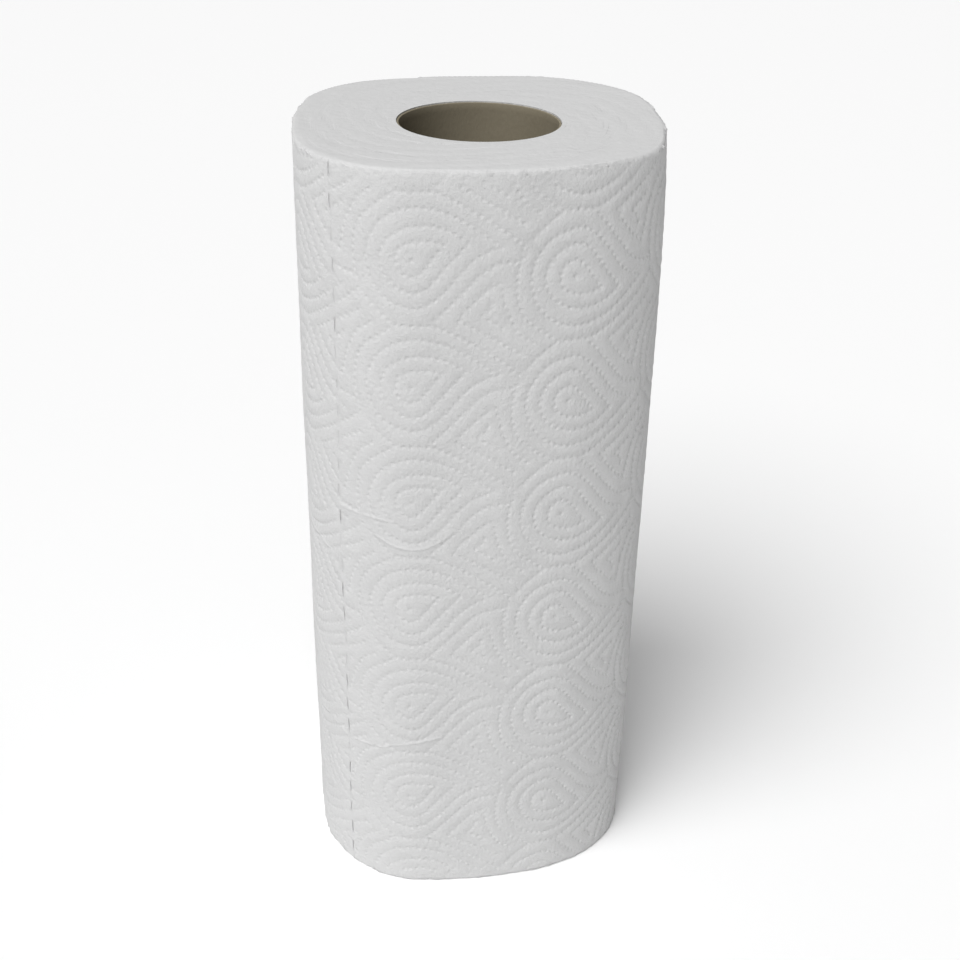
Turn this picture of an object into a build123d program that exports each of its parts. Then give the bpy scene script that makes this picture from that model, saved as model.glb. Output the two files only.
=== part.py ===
from build123d import *
from math import atan2, cos, degrees, hypot, radians, sin, sqrt, tan
import os

# Paper towel roll standing on its end: one long sheet of soft paper wound on a cardboard tube.
# Millimetres, +Z up. The origin is on the floor under the middle of the wound paper, and the
# side that faces -Y is the one with the perforated line near its left corner.

# The wound paper: handling has pressed it into a rounded square with slightly bowed faces
height = 230.0
width = 101.6
depth = 104.6
face_radius = 160.0
corner_radius = 36.0
rim_radius = 1.2

# The tube, which sits a little forward of the middle of the wound paper
tube_bore_radius = 21.8
tube_wall = 0.7
tube_offset = -3.5

# The turns as they show on both ends: a spiral band of them stands lower than the rest
turns_shown = 6
turns_step = 0.35
turns_margin = 2.4

# The outer end of the sheet, glued down on the back, one sheet length on from the perforated line
tail_angle = 104.0
tail_step = 0.4
tail_fade = 50.0

# The perforated line: a row of slits down the front left corner
slit_angle = 225.2
slit_pitch = 8.2
slit_length = 4.6
slit_width = 0.4
slit_depth = 0.35
slit_start = 0.3

# The sheet is glued to the tube, so the two meet face to face
paper_bore_radius = tube_bore_radius + tube_wall
tube_centre = Vector(0, tube_offset)


def direction(angle):
    """Unit vector at this angle round the roll, counter-clockwise from +X."""
    return Vector(cos(radians(angle)), sin(radians(angle)))


# The outline is eight arcs that run smoothly into each other: four bowed faces and four round
# corners. The first corner's centre is equally far from the centres of the right and back faces.
right_centre = Vector(width / 2 - face_radius, 0)
back_centre = Vector(0, depth / 2 - face_radius)
between = back_centre - right_centre
reach = sqrt((face_radius - corner_radius) ** 2 - (between.length / 2) ** 2)
corner_centre = (right_centre + back_centre) / 2 + Vector(-between.Y, between.X).normalized() * reach


def seam_angle(centre):
    """Angle, seen from the middle, at which the face with this centre runs into the corner."""
    seam = centre + (corner_centre - centre).normalized() * face_radius
    return degrees(atan2(seam.Y, seam.X))


right_seam = seam_angle(right_centre)
back_seam = seam_angle(back_centre)
seams = []
for half in (0, 180):
    seams += [half + right_seam, half + back_seam, half + 180 - back_seam, half + 180 - right_seam]


def outline_arc(angle):
    """Centre and radius of the outline's arc at this angle."""
    ray = direction(angle)
    folded = degrees(atan2(abs(ray.Y), abs(ray.X)))
    centre, radius = corner_centre, corner_radius
    if folded < right_seam:
        centre, radius = right_centre, face_radius
    elif folded > back_seam:
        centre, radius = back_centre, face_radius
    return Vector(centre.X if ray.X >= 0 else -centre.X, centre.Y if ray.Y >= 0 else -centre.Y), radius


def outline_point(angle):
    """Point of the outline at this angle."""
    centre, radius = outline_arc(angle)
    ray = direction(angle)
    along = ray.dot(centre)
    return ray * (along + sqrt(radius ** 2 - centre.length ** 2 + along ** 2))


def wound_point(angle, share):
    """Point in the wound paper: share is 0 on the tube and 1 on the outline."""
    start = tube_centre + direction(angle) * paper_bore_radius
    return start + (outline_point(angle) - start) * share


def arcs_through(point, marks):
    """Arcs from mark to mark along the curve that point(mark) gives."""
    return [ThreePointArc(point(a), point((a + b) / 2), point(b)) for a, b in zip(marks, marks[1:])]


def prism(edges, bottom, top):
    """Upright solid on a closed outline."""
    return Pos(0, 0, bottom) * extrude(make_face(Wire(edges)), top - bottom)


def on_floor(radius):
    """Upright cylinder round the tube's axis, from one end of the roll to the other."""
    return Pos(0, tube_offset, height / 2) * Cylinder(radius, height)


def soften(body, end):
    """Round one rim of the body with two bevels. end is 0 for the bottom face and -1 for the top."""
    steep = tan(radians(22.5)) * rim_radius
    middle = (1 - cos(radians(45))) * rim_radius
    for inward, down in ((steep, rim_radius), (rim_radius - steep, hypot(steep - middle, middle))):
        face = body.faces().sort_by(Axis.Z)[end]
        body = chamfer(face.edges(), inward, down, reference=face)
    return body


def turn_band():
    """Outline of the lower band, which winds outward from the tube to the outer end of the sheet."""
    thinnest = min((outline_point(seam) - tube_centre).length for seam in seams) - paper_bore_radius
    first = turns_margin / thinnest
    rise = (1 - 2 * first) / turns_shown
    marks = [turn * 360 + (seam - tail_angle) % 360 for turn in range(turns_shown) for seam in seams]
    marks = sorted(marks + [0, turns_shown * 360])

    def inner(mark):
        return wound_point(tail_angle + mark, first + rise * (mark / 360 - 0.5))

    def outer(mark):
        return wound_point(tail_angle + mark, first + rise * mark / 360)

    ends = [Line(inner(mark), outer(mark)) for mark in (marks[0], marks[-1])]
    return arcs_through(inner, marks) + arcs_through(outer, marks) + ends


def tail_gap():
    """What the wall lacks beyond the outer end of the sheet: a step that fades away round the corner."""
    fade_end = tail_angle + tail_fade
    marks = [tail_angle] + [seam for seam in seams if tail_angle < seam < fade_end] + [fade_end]

    def step(angle):
        return direction(angle) * tail_step * (fade_end - angle) / tail_fade

    def lowered(angle):
        return outline_point(angle) - step(angle)

    def outside(angle):
        return outline_point(angle) + step(angle)

    edges = arcs_through(lowered, marks) + arcs_through(outside, marks)
    return prism(edges + [Line(lowered(tail_angle), outside(tail_angle))], 0, height)


def slits():
    """The slits of the perforated line, from the top rim down."""
    place = outline_point(slit_angle)
    facing = place - outline_arc(slit_angle)[0]
    turned = Rot(0, 0, degrees(atan2(facing.Y, facing.X)))
    first = height - slit_start - slit_length / 2
    count = int((height - slit_start) / slit_pitch)
    slit = Box(2 * slit_depth, slit_width, slit_length)
    return [Pos(place.X, place.Y, first - number * slit_pitch) * turned * slit for number in range(count)]


def paper_roll():
    """The wound sheet, with its soft rims, its turns on both ends, its outer end and its slits."""
    paper = prism(arcs_through(outline_point, seams + [seams[0] + 360]), 0, height)
    paper = soften(soften(paper, 0), -1)
    paper -= on_floor(paper_bore_radius)
    paper -= tail_gap()
    paper -= prism(turn_band(), height - turns_step, height)
    paper -= prism(turn_band(), 0, turns_step)
    return paper - slits()


def cardboard_core():
    """The tube, cut off flush with the paper at both ends."""
    return on_floor(paper_bore_radius) - on_floor(tube_bore_radius)


os.makedirs("parts", exist_ok=True)
for name, shape in (("paper_roll", paper_roll()), ("cardboard_core", cardboard_core())):
    export_step(shape, "parts/" + name + ".step")
    print(name, "volume", round(shape.volume), "mm3", shape.bounding_box())
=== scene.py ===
# %% [markdown]
# # A paper towel roll
#
# One long sheet of soft white paper is wound on a cardboard tube. Its wall is embossed with rows of
# small pressed dots that run in nested drops, a perforated line marks off each sheet, and both ends
# show the cut edges of the turns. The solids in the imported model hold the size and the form. This
# lesson dresses them with three closed meshes: the turns, the outermost turn and the tube.

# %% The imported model
from math import atan2, cos, degrees, hypot, pi, radians, sin, sqrt

import bmesh
import bpy
import numpy as np
from mathutils import Matrix, Vector, noise
from mathutils.geometry import delaunay_2d_cdt
from mathutils.kdtree import KDTree


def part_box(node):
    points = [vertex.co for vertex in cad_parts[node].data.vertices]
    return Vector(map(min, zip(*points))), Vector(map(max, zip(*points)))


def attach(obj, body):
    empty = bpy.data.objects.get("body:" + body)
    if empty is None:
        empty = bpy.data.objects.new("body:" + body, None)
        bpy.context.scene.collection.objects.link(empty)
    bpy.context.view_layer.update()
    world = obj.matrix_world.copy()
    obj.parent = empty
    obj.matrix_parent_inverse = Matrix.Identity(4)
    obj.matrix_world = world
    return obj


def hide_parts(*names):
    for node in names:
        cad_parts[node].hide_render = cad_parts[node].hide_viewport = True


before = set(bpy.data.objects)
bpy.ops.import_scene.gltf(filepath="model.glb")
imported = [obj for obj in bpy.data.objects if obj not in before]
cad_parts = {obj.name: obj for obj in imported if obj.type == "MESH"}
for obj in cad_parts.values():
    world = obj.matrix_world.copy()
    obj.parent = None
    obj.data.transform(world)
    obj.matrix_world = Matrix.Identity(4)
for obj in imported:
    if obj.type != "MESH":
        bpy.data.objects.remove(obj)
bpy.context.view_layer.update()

# %% [markdown]
# ## The camera
#
# It comes first, because everything else is judged through it. It stands about 0.37 m in front of
# the roll and 0.32 m up, looks down by 29 degrees, and is tilted by one degree, as a camera held by
# hand is. A Blender camera looks along its own -Z, so its axes are built from the line of sight.

# %% Camera
mm = 0.001
camera_place = Vector((-35.0, -370.8, 320.4)) * mm
camera_heading = radians(5.8)
camera_down = radians(28.64)
camera_roll = radians(1.19)

sight = Vector((
    sin(camera_heading) * cos(camera_down),
    cos(camera_heading) * cos(camera_down),
    -sin(camera_down),
))
level = Vector((cos(camera_heading), -sin(camera_heading), 0))
camera_right = Matrix.Rotation(-camera_roll, 3, sight) @ level
camera_up = camera_right.cross(sight)

camera_data = bpy.data.cameras.new("camera")
camera_data.sensor_width = 36
camera_data.lens = 50.8
camera = bpy.data.objects.new("camera", camera_data)
axes = Matrix((camera_right, camera_up, -sight)).transposed()
camera.matrix_world = Matrix.Translation(camera_place) @ axes.to_4x4()
bpy.context.scene.collection.objects.link(camera)
bpy.context.scene.camera = camera
print("camera up axis", [round(value, 3) for value in camera_up])

# %% [markdown]
# ## The sizes
#
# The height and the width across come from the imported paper, the bore and its place from the tube.
# The rest are the sizes that the solids were made from, apart from the rim, which turns over a
# little tighter here. The meshes are worked out in millimetres, and turned into Blender's metres
# when each piece is made.

# %% Sizes, in millimetres
paper_low, paper_high = (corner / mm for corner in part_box("paper_roll"))
core_low, core_high = (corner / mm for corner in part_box("cardboard_core"))
height = paper_high.z - paper_low.z
width = paper_high.x - paper_low.x
depth = paper_high.y - paper_low.y
face_radius = 160.0
corner_radius = 36.0
edge_radius = 0.9
core_radius = (core_high.x - core_low.x) / 2
core_wall = 0.7
core_middle = np.array((core_low.x + core_high.x, core_low.y + core_high.y)) / 2
tail_angle = 104.0
tail_step = 0.4
tail_fade = 50.0
slit_angle = 225.2
print("paper", [round(size, 2) for size in (width, depth, height)], "tube radius", round(core_radius, 2))

# %% [markdown]
# ## The outline of the wall
#
# Seen from above the roll is a square that handling has rounded: four slightly bowed faces that run
# smoothly into four round corners. Eight circular arcs give exactly that. A ray from the middle at
# any angle meets one of them, and numpy works out many rays at once.

# %% Outline
right_centre = np.array((width / 2 - face_radius, 0))
back_centre = np.array((0, depth / 2 - face_radius))
between = back_centre - right_centre
reach = sqrt((face_radius - corner_radius) ** 2 - (hypot(*between) / 2) ** 2)
aside = np.array((-between[1], between[0])) / hypot(*between)
corner_centre = (right_centre + back_centre) / 2 + aside * reach


def seam_angle(centre):
    """Angle, seen from the middle, at which the face with this centre runs into the corner."""
    inward = corner_centre - centre
    seam = centre + inward / hypot(*inward) * face_radius
    return degrees(atan2(seam[1], seam[0]))


right_seam = seam_angle(right_centre)
back_seam = seam_angle(back_centre)


def direction(angle):
    """Unit vectors at these angles round the roll, counter-clockwise from +X."""
    return np.stack((np.cos(np.radians(angle)), np.sin(np.radians(angle))), -1)


def outline(angle):
    """Points of the outline at these angles, and the way out of the wall there."""
    ray = direction(angle)
    folded = np.degrees(np.arctan2(abs(ray[..., 1]), abs(ray[..., 0])))[..., None]
    on_side, on_back = folded < right_seam, folded > back_seam
    centre = np.where(on_side, right_centre, np.where(on_back, back_centre, corner_centre))
    centre = centre * np.where(ray < 0, -1, 1)
    radius = np.where(on_side | on_back, face_radius, corner_radius)
    along = (ray * centre).sum(-1, keepdims=True)
    point = ray * (along + np.sqrt(radius ** 2 - (centre ** 2).sum(-1, keepdims=True) + along ** 2))
    return point, (point - centre) / radius


print("seams at", round(right_seam, 2), "and", round(back_seam, 2), "degrees")

# %% [markdown]
# Hands have pushed the soft paper in and out by about a millimetre, and crushed the corners of its
# top a little more. Twelve places round the roll say how far, and squared cosines run smoothly from
# one to the next. The crushing fades within a few centimetres of the top.

# %% Pushed in and out
PUSHED = (0.6, 0.6, 0.5, 0, -0.3, -0.5, 0.1, 0.3, 1.3, 0.2, -1.1, 0.4)
PUSHED_AT_TOP = (-0.2, 1.0, 0.8, -0.3, -0.5, -1.0, -0.3, -0.1, -0.6, 0, -1.0, -1.8)
top_fade = 20.0


def pushed(angle, up):
    """How far handling has moved the wall out at these angles and heights."""
    spacing = 360 / len(PUSHED)
    up = np.clip(up, edge_radius, height - edge_radius)
    moved = np.zeros(np.broadcast(angle, up).shape)
    for place, (whole, at_top) in enumerate(zip(PUSHED, PUSHED_AT_TOP)):
        away = abs((angle - place * spacing + 180) % 360 - 180)
        near = np.cos(np.clip(away / spacing, 0, 1) * pi / 2) ** 2
        moved += near * (whole + at_top * np.exp((up - height) / top_fade))
    return moved


for place, up in (("half way up", height / 2), ("at the top", height)):
    out = pushed(np.arange(360), up)
    print(place, "the wall is pushed out by", out.min().round(2), "to", out.max().round(2), "mm")

# %% [markdown]
# ## Unrolling the wall
#
# The embossing was pressed into flat paper, so it is drawn on the unrolled wall: one number says how
# far round the roll a point is, counter-clockwise from the outer end of the sheet, and one says how
# far up. At both ends the wall turns inwards over a soft rim and ends in a short lip that lies flat.
# The distance up is measured along that turn too, so the pattern runs over the rim as it does on
# paper that was embossed before it was cut.

# %% From the flat sheet to the wall
spare_angle = 10
fine_steps = 3040
fine_angles = tail_angle + np.linspace(-spare_angle, 360 + spare_angle, fine_steps + 1)
fine_runs = np.hypot(*np.diff(outline(fine_angles)[0], axis=0).T)
fine_arcs = np.concatenate(([0], np.cumsum(fine_runs)))
fine_arcs -= np.interp(tail_angle, fine_angles, fine_arcs)
girth = float(np.interp(tail_angle + 360, fine_angles, fine_arcs))
rim_turn = edge_radius * pi / 2
lip = 0.35
lowest = edge_radius - rim_turn - lip
highest = height - lowest


def arc_at(angle):
    """Distance round the wall from the outer end of the sheet to this angle."""
    return np.interp(angle, fine_angles, fine_arcs)


def angle_at(arc):
    """The angle at this distance round the wall."""
    return np.interp(arc, fine_arcs, fine_angles)


def on_wall(around, up, out):
    """Points in the roll: so far round it, so far up its wall and rims, and so far out of it."""
    point, outward = outline(angle_at(around))
    level_up = np.clip(up, edge_radius, height - edge_radius)
    beyond = up - level_up
    turned = np.clip(abs(beyond) / edge_radius, 0, pi / 2)
    over = np.clip(abs(beyond) - rim_turn, 0, lip) - pushed(angle_at(around), up)
    flat = point + outward * ((edge_radius + out) * np.cos(turned) - edge_radius - over)[:, None]
    return np.column_stack((flat, level_up + np.sign(beyond) * np.sin(turned) * (edge_radius + out)))


slit_arc = float(arc_at(slit_angle))
print("girth", round(girth, 1), "of which", round(slit_arc, 1), "shows the sheet beneath the last one")

# %% [markdown]
# ## The embossing
#
# The pattern is one of the common ones for kitchen paper: four drops, one round the other, with a
# small chevron in the gap beside them. Every second column is turned upside down and lies a few
# millimetres lower. Each line needs only the points that its bends ask for, and a smooth curve
# through them carries the dots, two millimetres apart.

# %% Lines of the motif, in millimetres from the middle of its innermost drop
DROPS = (
    ((7.9, 3.9), (4.8, 4.8), (0.6, 4.7), (-3, 3), (-4, 0), (-2.9, -3), (0.4, -4.4), (3.2, -2.3),
     (5.4, 0.6), (7.9, 3.9)),
    ((13.8, 4.4), (11, 6.5), (7, 8.2), (2.5, 8.8), (-2, 7.9), (-6.3, 4.8), (-8, 0), (-6.4, -4.8),
     (-2.2, -8.1), (1.5, -8.5), (4.6, -6.7), (7, -3.7), (9.7, -0.4), (12.2, 2.2), (13.8, 4.4)),
    ((22.4, 3.4), (19.6, 5.2), (16.2, 7.6), (12.7, 9.9), (9, 11.7), (4.6, 13), (0, 13.3), (-5.4, 11.4),
     (-9.9, 6.6), (-11.8, 0), (-10.2, -6), (-6.2, -10.6), (0, -12.7), (3.4, -12), (6.4, -10), (9.8, -6.6),
     (12.4, -3.2), (15.1, -0.4), (18.6, 1.9), (22.4, 3.4)),
)
OUTER_DROP = (
    ((-4.2, 17.25), (-9.7, 13.1), (-13, 10), (-14.8, 6), (-15.4, 0), (-14.4, -5.8), (-12.2, -9.8),
     (-9, -13.4), (-4, -17.25)),
    ((-4, -17.25), (0, -17.4), (4.4, -17.25)),
    ((4.6, -17), (9.3, -12.3), (15.1, -5.9), (18.1, -3), (21.6, -1.2), (26, -0.6)),
    ((4.4, 17.4), (8.4, 16), (16, 11.9), (23.2, 7.1), (28, 3.2)),
)
CHEVRON = (
    ((12, -16), (13.2, -13.9), (16, -10.95), (19, -8), (22.1, -6.2)),
    ((12, -16), (16, -18.3), (20, -20.6), (24.2, -23.1), (27.6, -25.3)),
    ((22.1, -6.2), (22.8, -8.4), (23.9, -12.8), (25.6, -16.6), (27.8, -20.1), (31.3, -22.7)),
    ((20.3, -11.4), (19.6, -13.1), (17.9, -14.8), (19.4, -16), (21.2, -16.9), (23, -18.2)),
)
dot_pitch = 2.0
steps_per_knot = 20


def smooth_line(knots, pitch):
    """Points at about this pitch on the smooth curve through the knots, a Catmull-Rom spline."""
    known = np.array(knots, float)
    known = np.vstack((2 * known[0] - known[1], known, 2 * known[-1] - known[-2]))
    step = np.linspace(0, 1, steps_per_knot + 1)[:, None]
    runs = []
    for a, b, c, d in zip(known, known[1:], known[2:], known[3:]):
        runs.append(b + (c - a) / 2 * step + (a - 2.5 * b + 2 * c - d / 2) * step ** 2
                    + (3 * b - 3 * c + d - a) / 2 * step ** 3)
    curve = np.vstack(runs)
    length = np.concatenate(([0], np.cumsum(np.hypot(*np.diff(curve, axis=0).T))))
    marks = np.linspace(0, length[-1], max(1, round(length[-1] / pitch)) + 1)
    return np.stack([np.interp(marks, length, curve[:, axis]) for axis in (0, 1)], -1)


def motif(pitch):
    """Points at about this pitch on all the lines of the motif, and one in its middle."""
    lines = [smooth_line(knots, pitch) for knots in DROPS + OUTER_DROP + CHEVRON]
    return np.vstack([np.zeros((1, 2))] + lines)


print("dots in one motif:", len(motif(dot_pitch)))

# %% [markdown]
# The columns lean by half a degree, as on paper that went slightly askew through the embossing
# rolls, and the pattern isn't cut to end at the sheet's ends. So copies of the motif are laid over
# more than the whole unrolled wall. The dots that fall outside it, or too near an edge, are dropped,
# and where two lines share a stretch, so is the second dot.

# %% Laying the motif over the sheet
repeat_up = 34.5
repeat_round = 83.8
flipped_up = -5.6
lean = 0.0086
first_angle = 248.0
first_down = 22.5
spare_motifs = 2
line_pitch = 0.5
dots_from_edge = 1.05
dots_from_end = 0.7
dots_apart = 1.35


def lay(points):
    """Copies of the motif's points over the unrolled wall."""
    placed = []
    start = float(arc_at(first_angle))
    first_column = int(-start / repeat_round * 2) - spare_motifs
    last_column = int((girth - start) / repeat_round * 2) + spare_motifs
    for column in range(first_column, last_column + 1):
        flip = (1, -1) if column % 2 else (1, 1)
        drop = flipped_up if column % 2 else 0
        for row in range(-spare_motifs, int(height / repeat_up) + spare_motifs + 1):
            middle_up = height - first_down + drop - row * repeat_up
            placed.append(points * flip + (start + column * repeat_round / 2, middle_up))
    placed = np.vstack(placed)
    placed[:, 0] -= (height - first_down - placed[:, 1]) * lean
    return placed


def search_tree(targets):
    """A tree that finds the nearest of these targets quickly."""
    tree = KDTree(len(targets))
    for number, (x, y) in enumerate(targets):
        tree.insert((x, y, 0), number)
    tree.balance()
    return tree


def distances(places, tree):
    """How far each place is from the nearest target in the tree."""
    return np.array([tree.find((x, y, 0))[2] for x, y in places])


def kept_apart(points, clearance, others=()):
    """Which of the points to keep so that none is nearer than the clearance to an earlier one."""
    cells, kept = {}, []
    for x, y in others:
        cells.setdefault((int(x // clearance), int(y // clearance)), []).append((x, y))
    for number, (x, y) in enumerate(points):
        column, row = int(x // clearance), int(y // clearance)
        around = [(column + i, row + j) for i in (-1, 0, 1) for j in (-1, 0, 1)]
        near = [spot for cell in around for spot in cells.get(cell, ())]
        if all((x - a) ** 2 + (y - b) ** 2 >= clearance ** 2 for a, b in near):
            cells.setdefault((column, row), []).append((x, y))
            kept.append(number)
    return kept


dots = lay(motif(dot_pitch))
from_edge = np.minimum(dots[:, 0], girth - dots[:, 0])
from_edge = np.minimum(from_edge, abs(dots[:, 0] - slit_arc))
from_end = np.minimum(dots[:, 1], height - dots[:, 1])
dots = dots[(from_edge > dots_from_edge) & (from_end > dots_from_end)]
dots = dots[kept_apart(dots, dots_apart)]
dot_tree = search_tree(dots)
line_tree = search_tree(lay(motif(line_pitch)))
print("dots on the wall:", len(dots))

# %% [markdown]
# ## The relief of the sheet
#
# A real dot is pressed by a small blunt pin. It is nearly two millimetres across and about a fifth
# of a millimetre deep, and it draws the paper round it down into a shallow valley along the line.
# Between the lines the two plies stand puffed up. Handling has flattened all this more in the middle
# of the front and at the rims than elsewhere, has left slow waves and worn the rims in patches. The
# whole shape of the sheet can be one height for each point of the unrolled wall, built up from these
# simple parts.

# %% Waves and wear
WAVES = ((0.10, 3, 31, 0), (0.08, 7, -17, 1), (0.06, 13, 12, 2))
cockle_size = 7.0
cockle_height = 0.06
rim_wear = 0.22
rim_reach = 1.7
wear_patch = 9.0
wear_slice = 5.0
wear_contrast = 1.8


def slow_waves(around, up):
    """The gentle unevenness of the whole wall, from three long waves that wind up it."""
    turn = around / girth * 2 * pi
    return sum(high * np.sin(rounds * turn + up / climb + start) for high, rounds, climb, start in WAVES)


def cockle(around, up):
    """The small random unevenness of paper that was embossed and wound."""
    places = (Vector((x, y, 0)) / cockle_size for x, y in zip(around, up))
    return cockle_height * np.array([noise.fractal(place, 1, 2, 2) for place in places])


def worn_rim(around, up):
    """How far the soft rims have been pushed in, more in one place than in the next."""
    places = (Vector((x / wear_patch, y / wear_patch, wear_slice)) for x, y in zip(around, up))
    patches = np.array([noise.noise(place) for place in places])
    from_end = np.maximum(np.minimum(height - up, up), 0)
    return rim_wear * np.clip(1 + wear_contrast * patches, 0, 2) * np.exp(-from_end / rim_reach)


print("slow waves reach", round(sum(wave[0] for wave in WAVES), 2), "mm at most")

# %% [markdown]
# The perforated line is a row of cuts with ties between them. Some cuts gape more than others. How
# far is judged, from the top down, in shares of the usual gap. The creases are placed after
# the photo too: each is a smooth line through a few knots, so far right of the perforated line and
# so far down from the top.

# %% Cuts and creases
slit_pitch = 8.2
slit_length = 4.6
slit_start = 0.3
slit_taper = 0.8
SLITS_OPEN = (0.65, 0.5, 0.25, 0.4, 0.35, 0.6, 0.15, 0.25, 0.35, 0.2, 0.2, 0.3, 0.75, 0.1,
              0.45, 0.75, 0.9, 0.3, 0.4, 1.4, 0.6, 1.4, 0.25, 1.9, 0.9, 0.8, 1.9, 1.5, 0.9)
CREASES = (
    ((0.5, 97.2), (8.8, 97.5), (16, 97.8)),
    ((12, 103), (17.5, 105.5), (24, 106), (30, 103.5), (35, 99.5)),
    ((-19, 112.2), (-12.5, 112.8), (-5, 114.2)),
    ((0.5, 179), (5.2, 178), (13, 177.2), (16.7, 175.5), (23.7, 173.8), (30.7, 172)),
    ((-18.8, 178), (-8, 176.5), (-0.5, 178.4)),
)
crease_pitch = 0.6
creases = [np.array(knots) * (1, -1) + (slit_arc, height) for knots in CREASES]
crease_points = np.vstack([smooth_line(knots, crease_pitch) for knots in creases])
crease_tree = search_tree(crease_points)


def slit_opening(up):
    """How far the perforated line is open at this height, in shares of the usual gap. It is 0 at a tie."""
    down = height - slit_start - up
    number = np.clip(np.floor(down / slit_pitch), 0, len(SLITS_OPEN) - 1).astype(int)
    along = down - number * slit_pitch
    closing = np.clip(np.minimum(along, slit_length - along) / slit_taper, 0, 1)
    return closing * np.array(SLITS_OPEN)[number]


print("cuts:", len(SLITS_OPEN), "creases:", len(CREASES))

# %% [markdown]
# A dot's pit has the smooth profile of a squared cosine. Valleys, creases and the pucker beside the
# perforated line are soft hills that fall away on both sides. How much of the embossing is left
# depends on the place round the roll, given as angles and shares.

# %% Relief
dot_radius = 0.95
dot_depth = 0.175
valley_depth = 0.12
valley_width = 0.95
RELIEF_LEFT = ((104, 1.2), (190, 1.6), (210, 1.6), (232, 1.0), (258, 1.0), (272, 0.9),
               (292, 1.4), (310, 1.65), (330, 1.7), (370, 1.3), (464, 1.2))
flattened_reach = 5.0
least_left = 0.35
crease_height = 0.18
crease_width = 0.45
pucker_height = 0.12
pucker_place = 1.1
pucker_width = 0.7
line_sink = 0.05
line_width = 0.4


def hill(away, width):
    """A soft hill, one high and about this wide to each side."""
    return np.exp(-(away / width) ** 2)


def relief_left(around, up):
    """How much of the embossing is left: least in the middle of the front and at the rims."""
    at_rim = np.clip(np.minimum(up, height - up) / flattened_reach, least_left, 1)
    return np.interp(angle_at(around), *zip(*RELIEF_LEFT)) * at_rim


def relief(places):
    """Height of the paper's surface over the smooth wall at these places of the unrolled wall."""
    around, up = places.T
    to_dot, to_line, to_crease = (distances(places, tree) for tree in (dot_tree, line_tree, crease_tree))
    left = relief_left(around, up)
    pressed = left * dot_depth * np.cos(np.clip(to_dot / dot_radius, 0, 1) * pi / 2) ** 2
    valley = left * valley_depth * hill(to_line, valley_width)
    crease = crease_height * hill(to_crease, crease_width)
    beside = around - slit_arc
    pucker = pucker_height * hill(beside - pucker_place, pucker_width)
    pucker -= line_sink * hill(beside, line_width)
    shape = slow_waves(around, up) + cockle(around, up) - worn_rim(around, up)
    return shape - pressed - valley + crease + pucker


print("relief at the first dot", round(float(relief(dots[:1])[0]), 2), "mm")

# %% [markdown]
# ## Where the vertices go
#
# An even grid fine enough for a dot would need millions of faces. The points go where the shape
# needs them instead: the bottom, the slope and the edge of every dot, the ridges and slopes of the
# creases, the rounded rims, and wide apart in between. Blender's Delaunay triangulation then joins
# them.

# %% Points on the unrolled wall
rng = np.random.default_rng(11)
ring_sides = 6
edge_pitch = 0.6
end_pitch = 1.6
beside_edge = 0.2
RIM_STEPS = (-1, -0.5, 0, 0.33, 0.66, 1)
rim_clearance = 0.4
RIDGE_SHIFTS = (0, 0.32, -0.32, 0.9, -0.9)
ridge_clearance = 0.28
fill_pitch = 1.8
fill_scatter = 0.4
fill_clearance = 1.1
same_point = 1e-6


def grid(low, high, pitch):
    """Even marks from low to high, both ends among them."""
    return np.linspace(low, high, max(1, round((high - low) / pitch)) + 1)


def edge_points(start, end):
    """Points all round this stretch of the unrolled wall."""
    rows, columns = grid(lowest, highest, edge_pitch), grid(start, end, end_pitch)
    sides = [(around, up) for up in rows for around in (start, end)]
    sides += [(around, up) for around in columns[1:-1] for up in (lowest, highest)]
    return np.array(sides)


def wall_points(start, end):
    """Where the vertices of this stretch of the unrolled wall go, and how many of them are edge points."""
    centres = dots[(dots[:, 0] > start) & (dots[:, 0] < end)]
    rings = [centres + (radius * cos(turn), radius * sin(turn))
             for radius, first in ((dot_radius, 0), (dot_radius / 2, 0.5))
             for turn in (np.arange(ring_sides) + first) * 2 * pi / ring_sides]
    edge = edge_points(start, end)
    groove = [(around, up) for up in grid(lowest + edge_pitch, highest - edge_pitch, edge_pitch)
              for around in (start + beside_edge, end - beside_edge)]
    rim_rows = [height - edge_radius + rim_turn * step for step in RIM_STEPS]
    rims = [(around, up) for around in grid(start + end_pitch / 2, end - end_pitch / 2, end_pitch)
            for row in rim_rows for up in (row, height - row)]
    ridges = np.vstack([crease_points + (0, shift) for shift in RIDGE_SHIFTS])
    columns, rows = np.meshgrid(grid(start, end, fill_pitch), grid(lowest, highest, fill_pitch))
    fill = np.stack((columns.ravel(), rows.ravel()), -1)
    fill += rng.uniform(-fill_scatter, fill_scatter, (columns.size, 2))
    points = np.vstack([edge, groove, centres] + rings)
    for extra, clearance in ((ridges, ridge_clearance), (rims, rim_clearance), (fill, fill_clearance)):
        extra = np.array(extra)
        inside = (extra[:, 0] > start + edge_pitch) & (extra[:, 0] < end - edge_pitch)
        inside &= (extra[:, 1] > lowest + edge_pitch / 2) & (extra[:, 1] < highest - edge_pitch / 2)
        extra = extra[inside]
        points = np.vstack((points, extra[kept_apart(extra, clearance, points)]))
    return points, len(edge)


def triangles(points):
    """Delaunay triangles over these points, as the numbers of their corners."""
    found = delaunay_2d_cdt([Vector(point) for point in points], [], [], 0, same_point)
    faces, origins = found[2], found[3]
    return [tuple(origins[corner][0] for corner in face) for face in faces]


print("points on a dot:", 1 + 2 * ring_sides, "rows on each rim:", len(RIM_STEPS))
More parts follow.
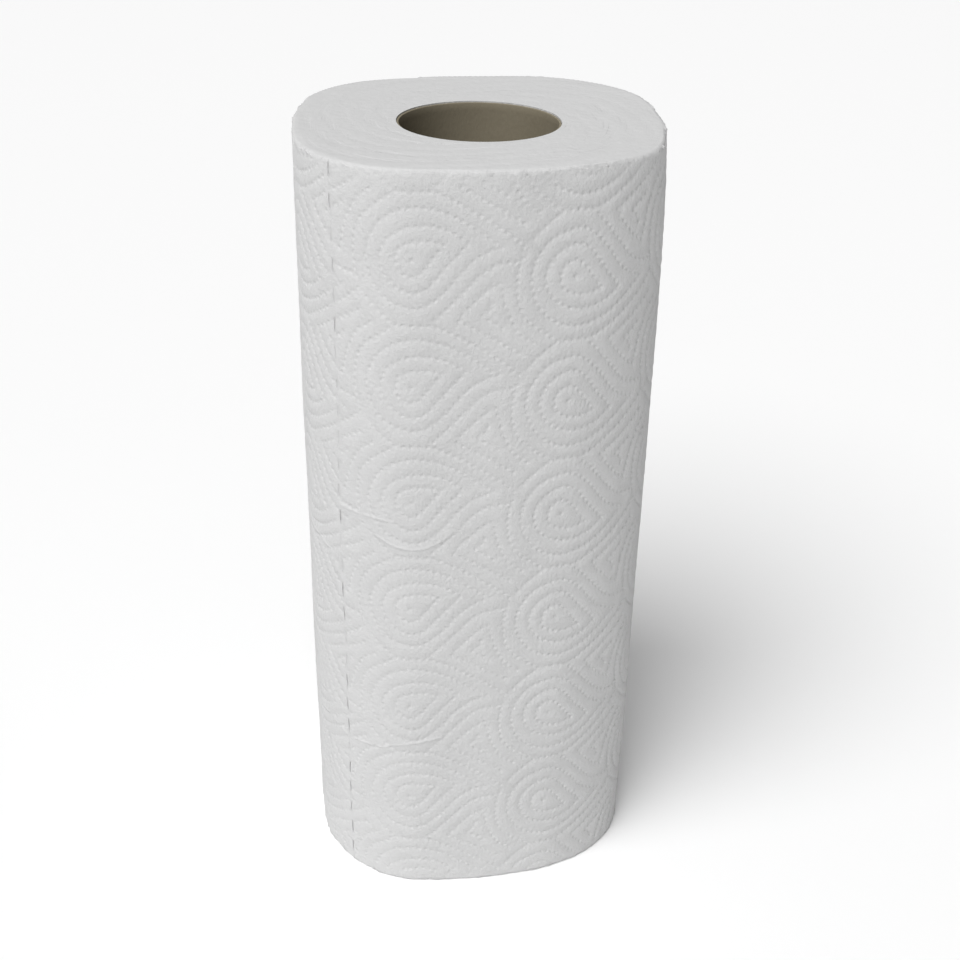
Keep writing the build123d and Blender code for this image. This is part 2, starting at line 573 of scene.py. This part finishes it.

# %% [markdown]
# ## Closed pieces
#
# Each piece should be closed, so it is a few surfaces whose edges are joined.
# The rows of two edges rarely have the same number of vertices. Going along both at once and always
# stepping on the row that lags behind makes a neat band of triangles between them. A finished piece
# whose volume comes out negative has its faces looking inwards, so they are all turned round.
#
# A ring of six corners is enough for a dot's shape, but the average of its faces is too rough for its
# shading. So a vertex may bring the way that it faces, worked out from the relief itself. Where it
# brings none, Blender's own smooth normal stays.

# %% Joining surfaces
class Skin:
    """The vertices and faces of one piece, in millimetres."""

    def __init__(self):
        self.points = []
        self.facings = []
        self.faces = []

    def add(self, points, faces=(), facings=None):
        """Adds points, the faces between them and the ways they face, and returns the points' numbers."""
        first = len(self.points)
        self.points.extend(tuple(point) for point in points)
        self.facings.extend(np.zeros((len(points), 3)) if facings is None else facings)
        self.faces.extend(tuple(first + corner for corner in face) for face in faces)
        return np.arange(first, len(self.points))

    def zip(self, row, marks, other, other_marks):
        """Joins two rows of vertices with triangles. The marks say how far along its row each is."""
        i, j = 0, 0
        while i < len(row) - 1 or j < len(other) - 1:
            if j == len(other) - 1 or (i < len(row) - 1 and marks[i + 1] <= other_marks[j + 1]):
                self.faces.append((row[i], row[i + 1], other[j]))
                i += 1
            else:
                self.faces.append((row[i], other[j + 1], other[j]))
                j += 1

    def zip_round(self, row, marks, other, other_marks, full):
        """Joins two closed rows. The marks start anew after the full turn."""
        a, b = np.argsort(marks), np.argsort(other_marks)
        closed = [np.append(ids[order], ids[order][0]) for ids, order in ((row, a), (other, b))]
        pairs = ((marks, a), (other_marks, b))
        ends = [np.append(own[order], own[order][0] + full) for own, order in pairs]
        self.zip(closed[0], ends[0], closed[1], ends[1])


def grid_faces(rows, columns):
    """Faces of a grid of points that is stored row by row."""
    return [(r * columns + c, r * columns + c + 1, (r + 1) * columns + c + 1, (r + 1) * columns + c)
            for r in range(rows - 1) for c in range(columns - 1)]


def make_piece(name, skin, sharp_angle=75):
    """A Blender object from a skin, in metres, shaded smooth where faces meet at less than this angle."""
    mesh = bpy.data.meshes.new(name)
    mesh.from_pydata([(x * mm, y * mm, z * mm) for x, y, z in skin.points], [], skin.faces)
    work = bmesh.new()
    work.from_mesh(mesh)
    bmesh.ops.recalc_face_normals(work, faces=work.faces)
    if work.calc_volume(signed=True) < 0:
        bmesh.ops.reverse_faces(work, faces=work.faces)
    open_edges = sum(not edge.is_manifold for edge in work.edges)
    work.to_mesh(mesh)
    work.free()
    mesh.shade_smooth()
    mesh.set_sharp_from_angle(angle=radians(sharp_angle))
    facings = np.array(skin.facings)[[loop.vertex_index for loop in mesh.loops]]
    own = np.array([normal.vector for normal in mesh.corner_normals])
    mesh.normals_split_custom_set(np.where(facings.any(-1, keepdims=True), facings, own).tolist())
    piece = bpy.data.objects.new(name, mesh)
    bpy.context.scene.collection.objects.link(piece)
    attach(piece, "root")
    count = sum(len(face.vertices) - 2 for face in mesh.polygons)
    print(name, "has", count, "triangles and", open_edges, "open edges")
    return piece


# %% [markdown]
# ## The outermost turn
#
# The last sheet lies over the others from the perforated line, at the left front corner, round the
# front and the right side to its glued outer end at the back. That end was torn off at the next
# perforated line, so it wanders a little and has a tuft at every tie. It is flat at the rims and
# stands off in slow waves between them.

# %% The sheet's outer end and the perforated line
tail_reach = 6.0
tail_thinned = 0.22
tail_lift = 0.5
tail_held = 15.0
tail_out = 0.35
tuft_length = 0.3
tuft_scatter = 5
TAIL_WAVES = ((0.2, 9, 0), (0.12, 3.7, 1))
LIFT_WAVES = ((0.5, 13, 1),)
LINE_STRAYS = ((6, 0.5), (39, 0.6), (96, 0), (129, -0.4), (186, 0.2), (225, -0.35))
LINE_WAVES = ((0.12, 6.1, 0), (0.1, 2.3, 2))


def waves(steps, parts):
    """A sum of sine waves along these steps. Each part is a height, a length and a start."""
    return sum(high * np.sin(steps / length + start) for high, length, start in parts)


def tail_wander(up):
    """How far the torn outer end of the sheet strays from a straight line, with tufts where it was tied."""
    tufts = tuft_length * (slit_opening(up) == 0) * (1 + np.sin(up * tuft_scatter))
    return tail_out + waves(up, TAIL_WAVES) + tufts


def loose_end(around, up):
    """How far the outer end stands off the turn beneath."""
    near_tail = np.clip(1 - (girth - around) / tail_reach, 0, 1)
    held = np.clip(np.minimum(up, height - up) / tail_held, 0, 1)
    return near_tail ** 2 * (tail_lift * held * (0.5 + waves(up, LIFT_WAVES)) - tail_thinned)


def line_wander(up):
    """How far the perforated line strays from a straight one."""
    return np.interp(up, *zip(*LINE_STRAYS)) + waves(up, LINE_WAVES)


print("the outer end strays by up to", round(float(tail_wander(np.arange(height)).max()), 2), "mm")

# %% [markdown]
# The outside of the last sheet carries the relief. Its inside is hidden, so a wide grid a little
# further in is enough to close it. Along the perforated line the paper is cut and tied in turn: at a
# cut the edge sinks into a narrow groove. On the rims the relief fades out, and the paper is frayed
# a little at random.

# %% Outermost turn
slit_sink = 0.8
slit_gap = 0.12
line_reach = 2.0
wander_reach = 3.0
rim_rise = 1.5
fray = 0.14
nudge = 0.03
unsure_beside = 0.5
on_line = 0.01
inner_inset = edge_radius + lip
inside_column = 4.0
inside_row = 8.0


def sheet_surface(places, side, sunk=0):
    """Points for places of the unrolled wall. The side is 1 right of the perforated line, -1 left of it."""
    around, up = places.T
    from_end = np.minimum(highest - up, up - lowest)
    calm = np.clip((from_end - lip) / rim_turn * rim_rise, 0, 1)
    opening = np.where(abs(around - slit_arc) < on_line, slit_opening(up), 0)
    frayed = rng.normal(0, fray, around.size) * (from_end < 2 * lip + rim_turn) * calm
    out = relief(places) * calm + frayed - sunk - slit_sink * np.minimum(opening, 1) + loose_end(around, up)
    near_tail = np.clip(1 - (girth - around) / wander_reach, 0, 1)
    near_line = np.clip(1 - abs(around - slit_arc) / line_reach, 0, 1)
    moved = side * slit_gap * opening + tail_wander(up) * near_tail + line_wander(up) * near_line
    return on_wall(around + moved, up + frayed, out)


def sheet_facing(places):
    """The way the relief faces at these places. Near the edges it is left open, as zero."""
    around, up = places.T
    outward = outline(angle_at(around))[1]

    def raised(shift_round, shift_up):
        """How far out the surface is beside each place."""
        moved = places + (shift_round, shift_up)
        return relief(moved) + pushed(angle_at(moved[:, 0]), moved[:, 1]) + loose_end(*moved.T)

    here = raised(0, 0)
    slope_round, slope_up = ((raised(*shift) - here) / nudge for shift in ((nudge, 0), (0, nudge)))
    along = np.stack((-outward[:, 1], outward[:, 0]), -1)
    facing = np.column_stack((outward - along * slope_round[:, None], -slope_up))
    facing /= np.sqrt((facing ** 2).sum(-1, keepdims=True))
    sure = (up > edge_radius) & (up < height - edge_radius) & (abs(around - slit_arc) > unsure_beside)
    sure &= (around > unsure_beside) & (around < girth - unsure_beside)
    return facing * sure[:, None]


def edge_marks(places, start, end):
    """How far round the edge of this stretch its edge points are, from 0 to 4."""
    across = (places[:, 0] - start) / (end - start)
    up = (places[:, 1] - lowest) / (highest - lowest)
    marks = np.where(up <= 0, across, 3 - across)
    marks = np.where(across >= 1, 1 + up, np.where(across <= 0, 4 - up, marks))
    return np.where((across <= 0) & (up <= 0), 0, marks)


def outermost_turn():
    """The last sheet of the roll, as a closed skin."""
    start, end = slit_arc, girth
    places, edge_count = wall_points(start, end)
    skin = Skin()
    outside = skin.add(sheet_surface(places, 1), triangles(places), sheet_facing(places))
    columns = grid(start, end, inside_column)
    rows = grid(2 * inner_inset, height - 2 * inner_inset, inside_row)
    arounds, ups = (axis.ravel() for axis in np.meshgrid(columns, rows))
    inner_side = on_wall(arounds, ups, np.full(arounds.size, -inner_inset))
    inside = skin.add(inner_side, grid_faces(len(rows), len(columns)))
    flat = np.stack((arounds, (ups - rows[0]) / (rows[-1] - rows[0]) * (highest - lowest) + lowest), -1)
    on_edge = (arounds <= start) | (arounds >= end) | (ups <= rows[0]) | (ups >= rows[-1])
    skin.zip_round(outside[:edge_count], edge_marks(places[:edge_count], start, end),
                   inside[on_edge], edge_marks(flat[on_edge], start, end), 4)
    return skin


outer_turn = make_piece("outer_turn", outermost_turn())

# %% [markdown]
# ## The turns on the ends
#
# Both ends show the cut edge of every turn: one spiral from the tube to the outside, a ridge for
# each turn. The ridges wander and rise and fall a little, because embossed turns don't lie evenly on
# each other. A spiral is a grid whose rows don't close on themselves but on the next turn: the point
# one full turn on is the outer neighbour.

# %% Turns on the ends
turns = 62
per_turn = 110
groove_depth = 0.03
ridge_drop = 0.008
RIDGE_ACROSS = (0.3, 0.72)
beyond_step = 0.25
turn_inset = inner_inset + tail_step + beyond_step
first_part = 0.25
first_share = first_part / turns
TURN_WANDERS = ((0.14, 5, 900), (0.1, 11, 400))
SHORT_WANDERS = ((0.11, 61, 0), (0.09, 23.7, 0))
UNEVEN = ((0.05, 9, 230),)
uneven_grain = 0.006
least_drop = 0.01


def spiral_waves(turn, steps, parts):
    """A sum of sine waves along the spiral. Each part is a height, waves per turn and a slow drift."""
    return sum(high * np.sin(rounds * turn + steps / drift) for high, rounds, drift in parts)


def turn_points(steps, across, drop, level, upward):
    """Points for these steps along the spiral, so far across its turn and so far below the end's level."""
    turn = np.radians(steps * 360 / per_turn)
    calm = np.clip(np.minimum(steps, turns * per_turn - steps) / per_turn, 0, 1)
    wander = spiral_waves(turn, steps, TURN_WANDERS) + waves(steps, SHORT_WANDERS)
    share = first_share + (1 - first_share) * (steps / per_turn + across + calm * wander) / turns
    uneven = spiral_waves(turn, steps, UNEVEN) + rng.normal(0, uneven_grain, steps.size)
    angle = tail_angle + steps * 360 / per_turn
    edge, outward = outline(angle)
    edge = edge - outward * (turn_inset - pushed(angle, level))[:, None]
    bore = core_middle + direction(angle) * core_radius
    flat = bore + (edge - bore) * np.clip(share, 0, 1)[:, None]
    return np.column_stack((flat, level - upward * np.maximum(drop + uneven, least_drop)))


def close_end(skin, level, upward, loop, loop_marks):
    """Fills one end with its turns, from the bore to the loop at the wall. Returns the bore's loop."""
    last = turns * per_turn
    grooves = skin.add(turn_points(np.arange(last + 1), 0, groove_depth, level, upward))
    steps = np.arange(last - per_turn + 1)
    near, far = (skin.add(turn_points(steps, across, ridge_drop, level, upward)) for across in RIDGE_ACROSS)
    for step in steps[:-1]:
        rows = (grooves[step:], near[step:], far[step:], grooves[step + per_turn:])
        for inner, outer in zip(rows, rows[1:]):
            skin.faces.append((inner[0], outer[0], outer[1], inner[1]))
    marks = np.arange(per_turn + 1) * 360 / per_turn
    round_bore = direction(tail_angle + marks[:-1]) * core_radius + core_middle
    bore = skin.add([(x, y, level - upward * groove_depth) for x, y in round_bore])
    skin.zip(np.append(bore, bore[0]), marks, grooves[:per_turn + 1], marks)
    skin.zip(grooves[-per_turn - 1:], marks, loop, loop_marks)
    skin.faces.append((bore[0], grooves[0], near[0], far[0], grooves[per_turn]))
    skin.faces.append((grooves[-per_turn - 1], near[-1], far[-1], grooves[-1], loop[-1], loop[0]))
    return bore


print("turns on each end:", turns, "each", round((width / 2 - core_radius) / turns, 2), "mm")

# %% [markdown]
# ## The wound paper
#
# The other turns are one closed body. Its wall shows only between the glued end and the perforated
# line, on the left. There it carries the relief too. Beside the glued end it stands a step lower,
# and the step fades away round the back left corner. The rest of the wall is hidden behind the last
# sheet.

# %% Wound paper
hidden_overlap = 0.02
hidden_inset = inner_inset - hidden_overlap
hidden_end = 0.04
hidden_column = 2.0


def tail_sink(around):
    """How far the sheet beneath lies below the outline, because the last one has ended."""
    return tail_step * np.clip(1 - (angle_at(around) - tail_angle) / tail_fade, 0, 1)


def wound_turns():
    """All turns but the last one, as a closed skin."""
    places, edge_count = wall_points(0.0, slit_arc)
    skin = Skin()
    surface = sheet_surface(places, -1, tail_sink(places[:, 0]))
    shown = skin.add(surface, triangles(places), sheet_facing(places))
    columns = grid(slit_arc, girth, hidden_column)
    rows = grid(hidden_end, height - hidden_end, inside_row)
    arounds, ups = (axis.ravel() for axis in np.meshgrid(columns, rows))
    wall, outward = outline(angle_at(arounds))
    wall = wall - outward * (hidden_inset - pushed(angle_at(arounds), ups))[:, None]
    hidden = skin.add(np.column_stack((wall, ups)), grid_faces(len(rows), len(columns)))
    hidden = hidden.reshape(len(rows), len(columns))
    edge = places[:edge_count]
    for side, column in ((0.0, -1), (slit_arc, 0)):
        own = np.flatnonzero(edge[:, 0] == side)
        own = own[np.argsort(edge[own, 1])]
        skin.zip(shown[own], edge[own, 1], hidden[:, column], rows)
    bores = []
    for level, upward, up, row in ((height, 1, highest, -1), (0, -1, lowest, 0)):
        own = np.flatnonzero(edge[:, 1] == up)
        own = own[np.argsort(edge[own, 0])]
        loop = np.append(shown[own], hidden[row])
        marks = angle_at(np.append(edge[own, 0], columns)) - tail_angle
        bores.append(close_end(skin, level, upward, loop, marks))
    for corner in range(per_turn):
        following = (corner + 1) % per_turn
        skin.faces.append((bores[0][corner], bores[0][following], bores[1][following], bores[1][corner]))
    return skin


wound_paper = make_piece("wound_paper", wound_turns())

# %% [markdown]
# ## The tube
#
# A cardboard tube is made of board strips wound in a steep spiral, and the edge of the inner strip
# leaves a fine groove that climbs round the bore. The rows of this grid turn with the height, so that
# one column follows the groove all the way up, and the cut rims are rounded over.

# %% Tube
seam_rise = 90.0
seam_depth = 0.14
SEAM_COLUMNS = (-2.2, -1.1, 0, 1.1, 2.2)
SEAM_SHARES = (0, 0.5, 1, 0.5, 0)
plain_columns = 88
plain_gap = 4.0
ring_pitch = 1.9
tube_end = 0.35
rim_roll = 0.2
rim_bevel = 0.06
tube_play = 0.05


def ring(radius, up, turned=0.0):
    """Points round the tube at this radius and height, from columns that follow the groove."""
    plain = np.linspace(SEAM_COLUMNS[-1] + plain_gap, 360 + SEAM_COLUMNS[0] - plain_gap, plain_columns)
    columns = np.concatenate((SEAM_COLUMNS, plain))
    groove = np.concatenate((SEAM_SHARES, np.zeros(plain_columns)))
    angle = columns + turned
    flat = core_middle + direction(angle) * (radius + seam_depth * groove)[:, None]
    return np.column_stack((flat, np.full(columns.size, up))), angle


def cardboard_tube():
    """The tube, as a closed skin."""
    skin = Skin()
    inner, outer = core_radius - core_wall, core_radius - tube_play
    low, high = tube_end, height - tube_end
    inside = [(inner, up, up / seam_rise * 360) for up in grid(low + rim_roll, high - rim_roll, ring_pitch)]
    top_turn, low_turn = inside[-1][2], inside[0][2]
    across = ((inner + rim_bevel, rim_roll / 4), (inner + rim_roll, 0), (outer - rim_roll, 0),
              (outer - rim_bevel, rim_roll / 4), (outer, rim_roll))
    top = [(radius, high - drop, top_turn) for radius, drop in across]
    low_rim = [(radius, low + drop, low_turn) for radius, drop in reversed(across[:-1])]
    rings = low_rim + inside + top + [(outer, low + rim_roll, top_turn)]
    made = [ring(*each) for each in rings]
    numbers = [skin.add(points) for points, _ in made]
    for row, following in zip(numbers, numbers[1:]):
        for a in range(len(row)):
            b = (a + 1) % len(row)
            skin.faces.append((row[a], row[b], following[b], following[a]))
    skin.zip_round(numbers[0], made[0][1] % 360, numbers[-1], made[-1][1] % 360, 360)
    return skin


core_tube = make_piece("core_tube", cardboard_tube())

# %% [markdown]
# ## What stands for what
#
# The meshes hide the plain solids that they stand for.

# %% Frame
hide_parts("paper_roll")
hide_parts("paper_roll")
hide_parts("cardboard_core")
print("hidden solids:", [name for name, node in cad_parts.items() if node.hide_render])

# %% [markdown]
# ## Writing materials
#
# A node tree is arithmetic on values that change over a surface. This small class wraps one output
# of a node, so that Python's own signs add the Math nodes, and one method makes every other node.

# %% Node helpers
class Value:
    """One output of a node, as a number to reckon with."""

    def __init__(self, nodes, socket):
        self.nodes = nodes
        self.socket = socket

    def combine(self, operation, first, second):
        node = self.nodes.node("ShaderNodeMath", {"operation": operation}, {0: first, 1: second})
        return Value(self.nodes, node.outputs["Value"])

    def __add__(self, other):
        return self.combine("ADD", self, other)

    def __mul__(self, other):
        return self.combine("MULTIPLY", self, other)

    __radd__ = __add__
    __rmul__ = __mul__


class Nodes:
    """A node tree that starts out empty, and the ways to add to it."""

    def __init__(self, owner):
        owner.use_nodes = True
        self.tree = owner.node_tree
        self.tree.nodes.clear()

    def node(self, kind, settings=None, sockets=None):
        """A node of this type, with its settings first and then its sockets' values or links."""
        node = self.tree.nodes.new(kind)
        for name, value in (settings or {}).items():
            setattr(node, name, value)
        for name, value in (sockets or {}).items():
            self.feed(node.inputs[name], value)
        return node

    def feed(self, target, value):
        """Links a value or an output to this socket, or sets the number on it."""
        if isinstance(value, Value):
            value = value.socket
        if isinstance(value, bpy.types.NodeSocket):
            self.tree.links.new(value, target)
        else:
            target.default_value = value


class Finish(Nodes):
    """A material and its nodes, round one shader."""

    def __init__(self, name, **constants):
        self.material = bpy.data.materials.new(name)
        super().__init__(self.material)
        self.shader = self.node("ShaderNodeBsdfPrincipled", {}, constants)
        self.node("ShaderNodeOutputMaterial", {}, {"Surface": self.shader.outputs["BSDF"]})
        self.place = self.node("ShaderNodeTexCoord").outputs["Object"]

    def noise(self, size, stretch=(1, 1, 1), **sockets):
        """Noise whose spots are about this many millimetres across, stretched along the axes."""
        scale = tuple(1 / (size * mm * along) for along in stretch)
        scaled = self.node("ShaderNodeMapping", {}, {"Vector": self.place, "Scale": scale})
        sockets = {"Vector": scaled.outputs["Vector"], "Scale": 1.0, **sockets}
        return Value(self, self.node("ShaderNodeTexNoise", {}, sockets).outputs["Fac"])

    def blend(self, share, first, second):
        """A colour between two others."""
        node = self.node("ShaderNodeMix", {"data_type": "RGBA"}, {0: share, 6: first, 7: second})
        return node.outputs[2]

    def bump(self, height, distance):
        """A normal from a height whose full range is this many millimetres."""
        sockets = {"Height": height, "Distance": distance * mm, "Strength": 1.0}
        return self.node("ShaderNodeBump", {}, sockets).outputs["Normal"]

    def wear(self, piece):
        """Puts the finish on this piece."""
        piece.data.materials.append(self.material)


# %% [markdown]
# ## The paper
#
# Kitchen paper is bleached pulp, creped on a drum so that fine wrinkles run across the web, which on
# the roll is up and down. It is dull, nearly white, and its fibres lie in faint clouds. The wrinkles
# and fibres are much smaller than a dot, so they are bump, while the embossing is real geometry.
# Faces that look up or down are cut edges, and wear a smoother finish.

# %% Paper finish
paper_shader = {"Specular IOR Level": 0.25, "Sheen Weight": 0.08, "Sheen Roughness": 0.6}
duller_white = (0.585, 0.585, 0.585, 1)
brighter_white = (0.665, 0.665, 0.665, 1)


def paper_finish():
    """The sheet's crepe, fibres and clouds."""
    finish = Finish("kitchen_paper_finish", **paper_shader)
    clouds = finish.noise(9, Detail=3.0)
    fibres = finish.noise(0.45, Detail=4.0, Roughness=0.65)
    crepe = finish.noise(1.0, stretch=(1, 1, 1.2), Detail=3.0)
    white = finish.blend(clouds * 0.6 + fibres * 0.4, duller_white, brighter_white)
    finish.feed(finish.shader.inputs["Base Color"], white)
    finish.feed(finish.shader.inputs["Roughness"], fibres * 0.12 + 0.86)
    finish.feed(finish.shader.inputs["Normal"], finish.bump(crepe * 0.8 + fibres * 0.35, 0.33))
    return finish


def cut_finish():
    """The fibres of the cut edges, pressed flat by the saw."""
    finish = Finish("cut_paper_finish", **paper_shader)
    clouds = finish.noise(6, Detail=3.0)
    mottle = finish.noise(2.0, Detail=2.0, Roughness=0.5)
    white = finish.blend(clouds * 0.5 + mottle * 0.5, duller_white, brighter_white)
    finish.feed(finish.shader.inputs["Base Color"], white)
    finish.feed(finish.shader.inputs["Roughness"], mottle * 0.1 + 0.88)
    finish.feed(finish.shader.inputs["Normal"], finish.bump(mottle, 0.22))
    return finish


paper, cut = paper_finish(), cut_finish()
upright_enough = 0.9
for piece in (outer_turn, wound_paper):
    paper.wear(piece)
    cut.wear(piece)
    for face in piece.data.polygons:
        face.material_index = abs(face.normal.z) > upright_enough
    print(piece.name, "wears", [material.name for material in piece.data.materials])

# %% [markdown]
# ## The board
#
# The tube is grey board from waste paper, a little brown, with short fibres and darker flecks.

# %% Board finish
darker_board = (0.19, 0.162, 0.11, 1)
lighter_board = (0.31, 0.275, 0.205, 1)


def board_finish():
    """Grey-brown board with fibres and flecks."""
    finish = Finish("core_board_finish", **{"Specular IOR Level": 0.3})
    flecks = finish.noise(1.1, Detail=5.0, Roughness=0.7)
    fibres = finish.noise(0.5, stretch=(1, 1, 2.5), Detail=3.0)
    clouds = finish.noise(14, Detail=2.0)
    brown = finish.blend(flecks * 0.5 + clouds * 0.5, darker_board, lighter_board)
    finish.feed(finish.shader.inputs["Base Color"], brown)
    finish.feed(finish.shader.inputs["Roughness"], fibres * 0.15 + 0.75)
    finish.feed(finish.shader.inputs["Normal"], finish.bump(fibres, 0.08))
    return finish


board_finish().wear(core_tube)
print("finishes:", sorted(material.name for material in bpy.data.materials))

# %% [markdown]
# ## The studio
#
# A wide pale floor, a pale surround, and soft light: a strong one from high on the left in front, and
# a weaker one from above. Soft light from above draws the pressed dots with a dark upper and a bright
# lower edge. The surround gives only a faint light, and a camera ray alone sees it pale, so that it
# doesn't fill the shadows.

# %% Floor
def floor_plane(half):
    """A plain square floor of this half width, in metres."""
    mesh = bpy.data.meshes.new("floor")
    corners = [(-half, -half, 0), (half, -half, 0), (half, half, 0), (-half, half, 0)]
    mesh.from_pydata(corners, [], [(0, 1, 2, 3)])
    plane = bpy.data.objects.new("floor", mesh)
    bpy.context.scene.collection.objects.link(plane)
    return plane


pale = Finish("pale_floor", **{"Base Color": (0.95, 0.95, 0.95, 1), "Roughness": 0.9})
floor = floor_plane(half=60)
pale.wear(floor)
print("floor", [round(size) for size in floor.dimensions], "m")


# %% Lights
surround_seen = 0.9
surround_given = 0.1


def soft_lamp(name, azimuth, elevation, spread, power):
    """A soft light from far away: where it comes from, and over how much of the sky, in degrees."""
    data = bpy.data.lights.new(name, "SUN")
    data.angle = radians(spread)
    data.energy = power
    lamp = bpy.data.objects.new(name, data)
    side = direction(azimuth) * cos(radians(elevation))
    towards = Vector((side[0], side[1], sin(radians(elevation))))
    lamp.matrix_world = towards.to_track_quat("Z", "Y").to_matrix().to_4x4()
    bpy.context.scene.collection.objects.link(lamp)
    print(name, "comes from", [round(part, 2) for part in towards])


soft_lamp("key", azimuth=232, elevation=57, spread=45, power=2.95)
soft_lamp("overhead", azimuth=200, elevation=80, spread=90, power=0.45)

surround = bpy.data.worlds.new("surround")
sky = Nodes(surround)
seen = Value(sky, sky.node("ShaderNodeLightPath").outputs["Is Camera Ray"])
strength = seen * (surround_seen - surround_given) + surround_given
glow = sky.node("ShaderNodeBackground", {}, {"Color": (1, 1, 1, 1), "Strength": strength})
sky.node("ShaderNodeOutputWorld", {}, {"Surface": glow.outputs["Background"]})
bpy.context.scene.world = surround
bpy.context.scene.view_settings.view_transform = "Standard"
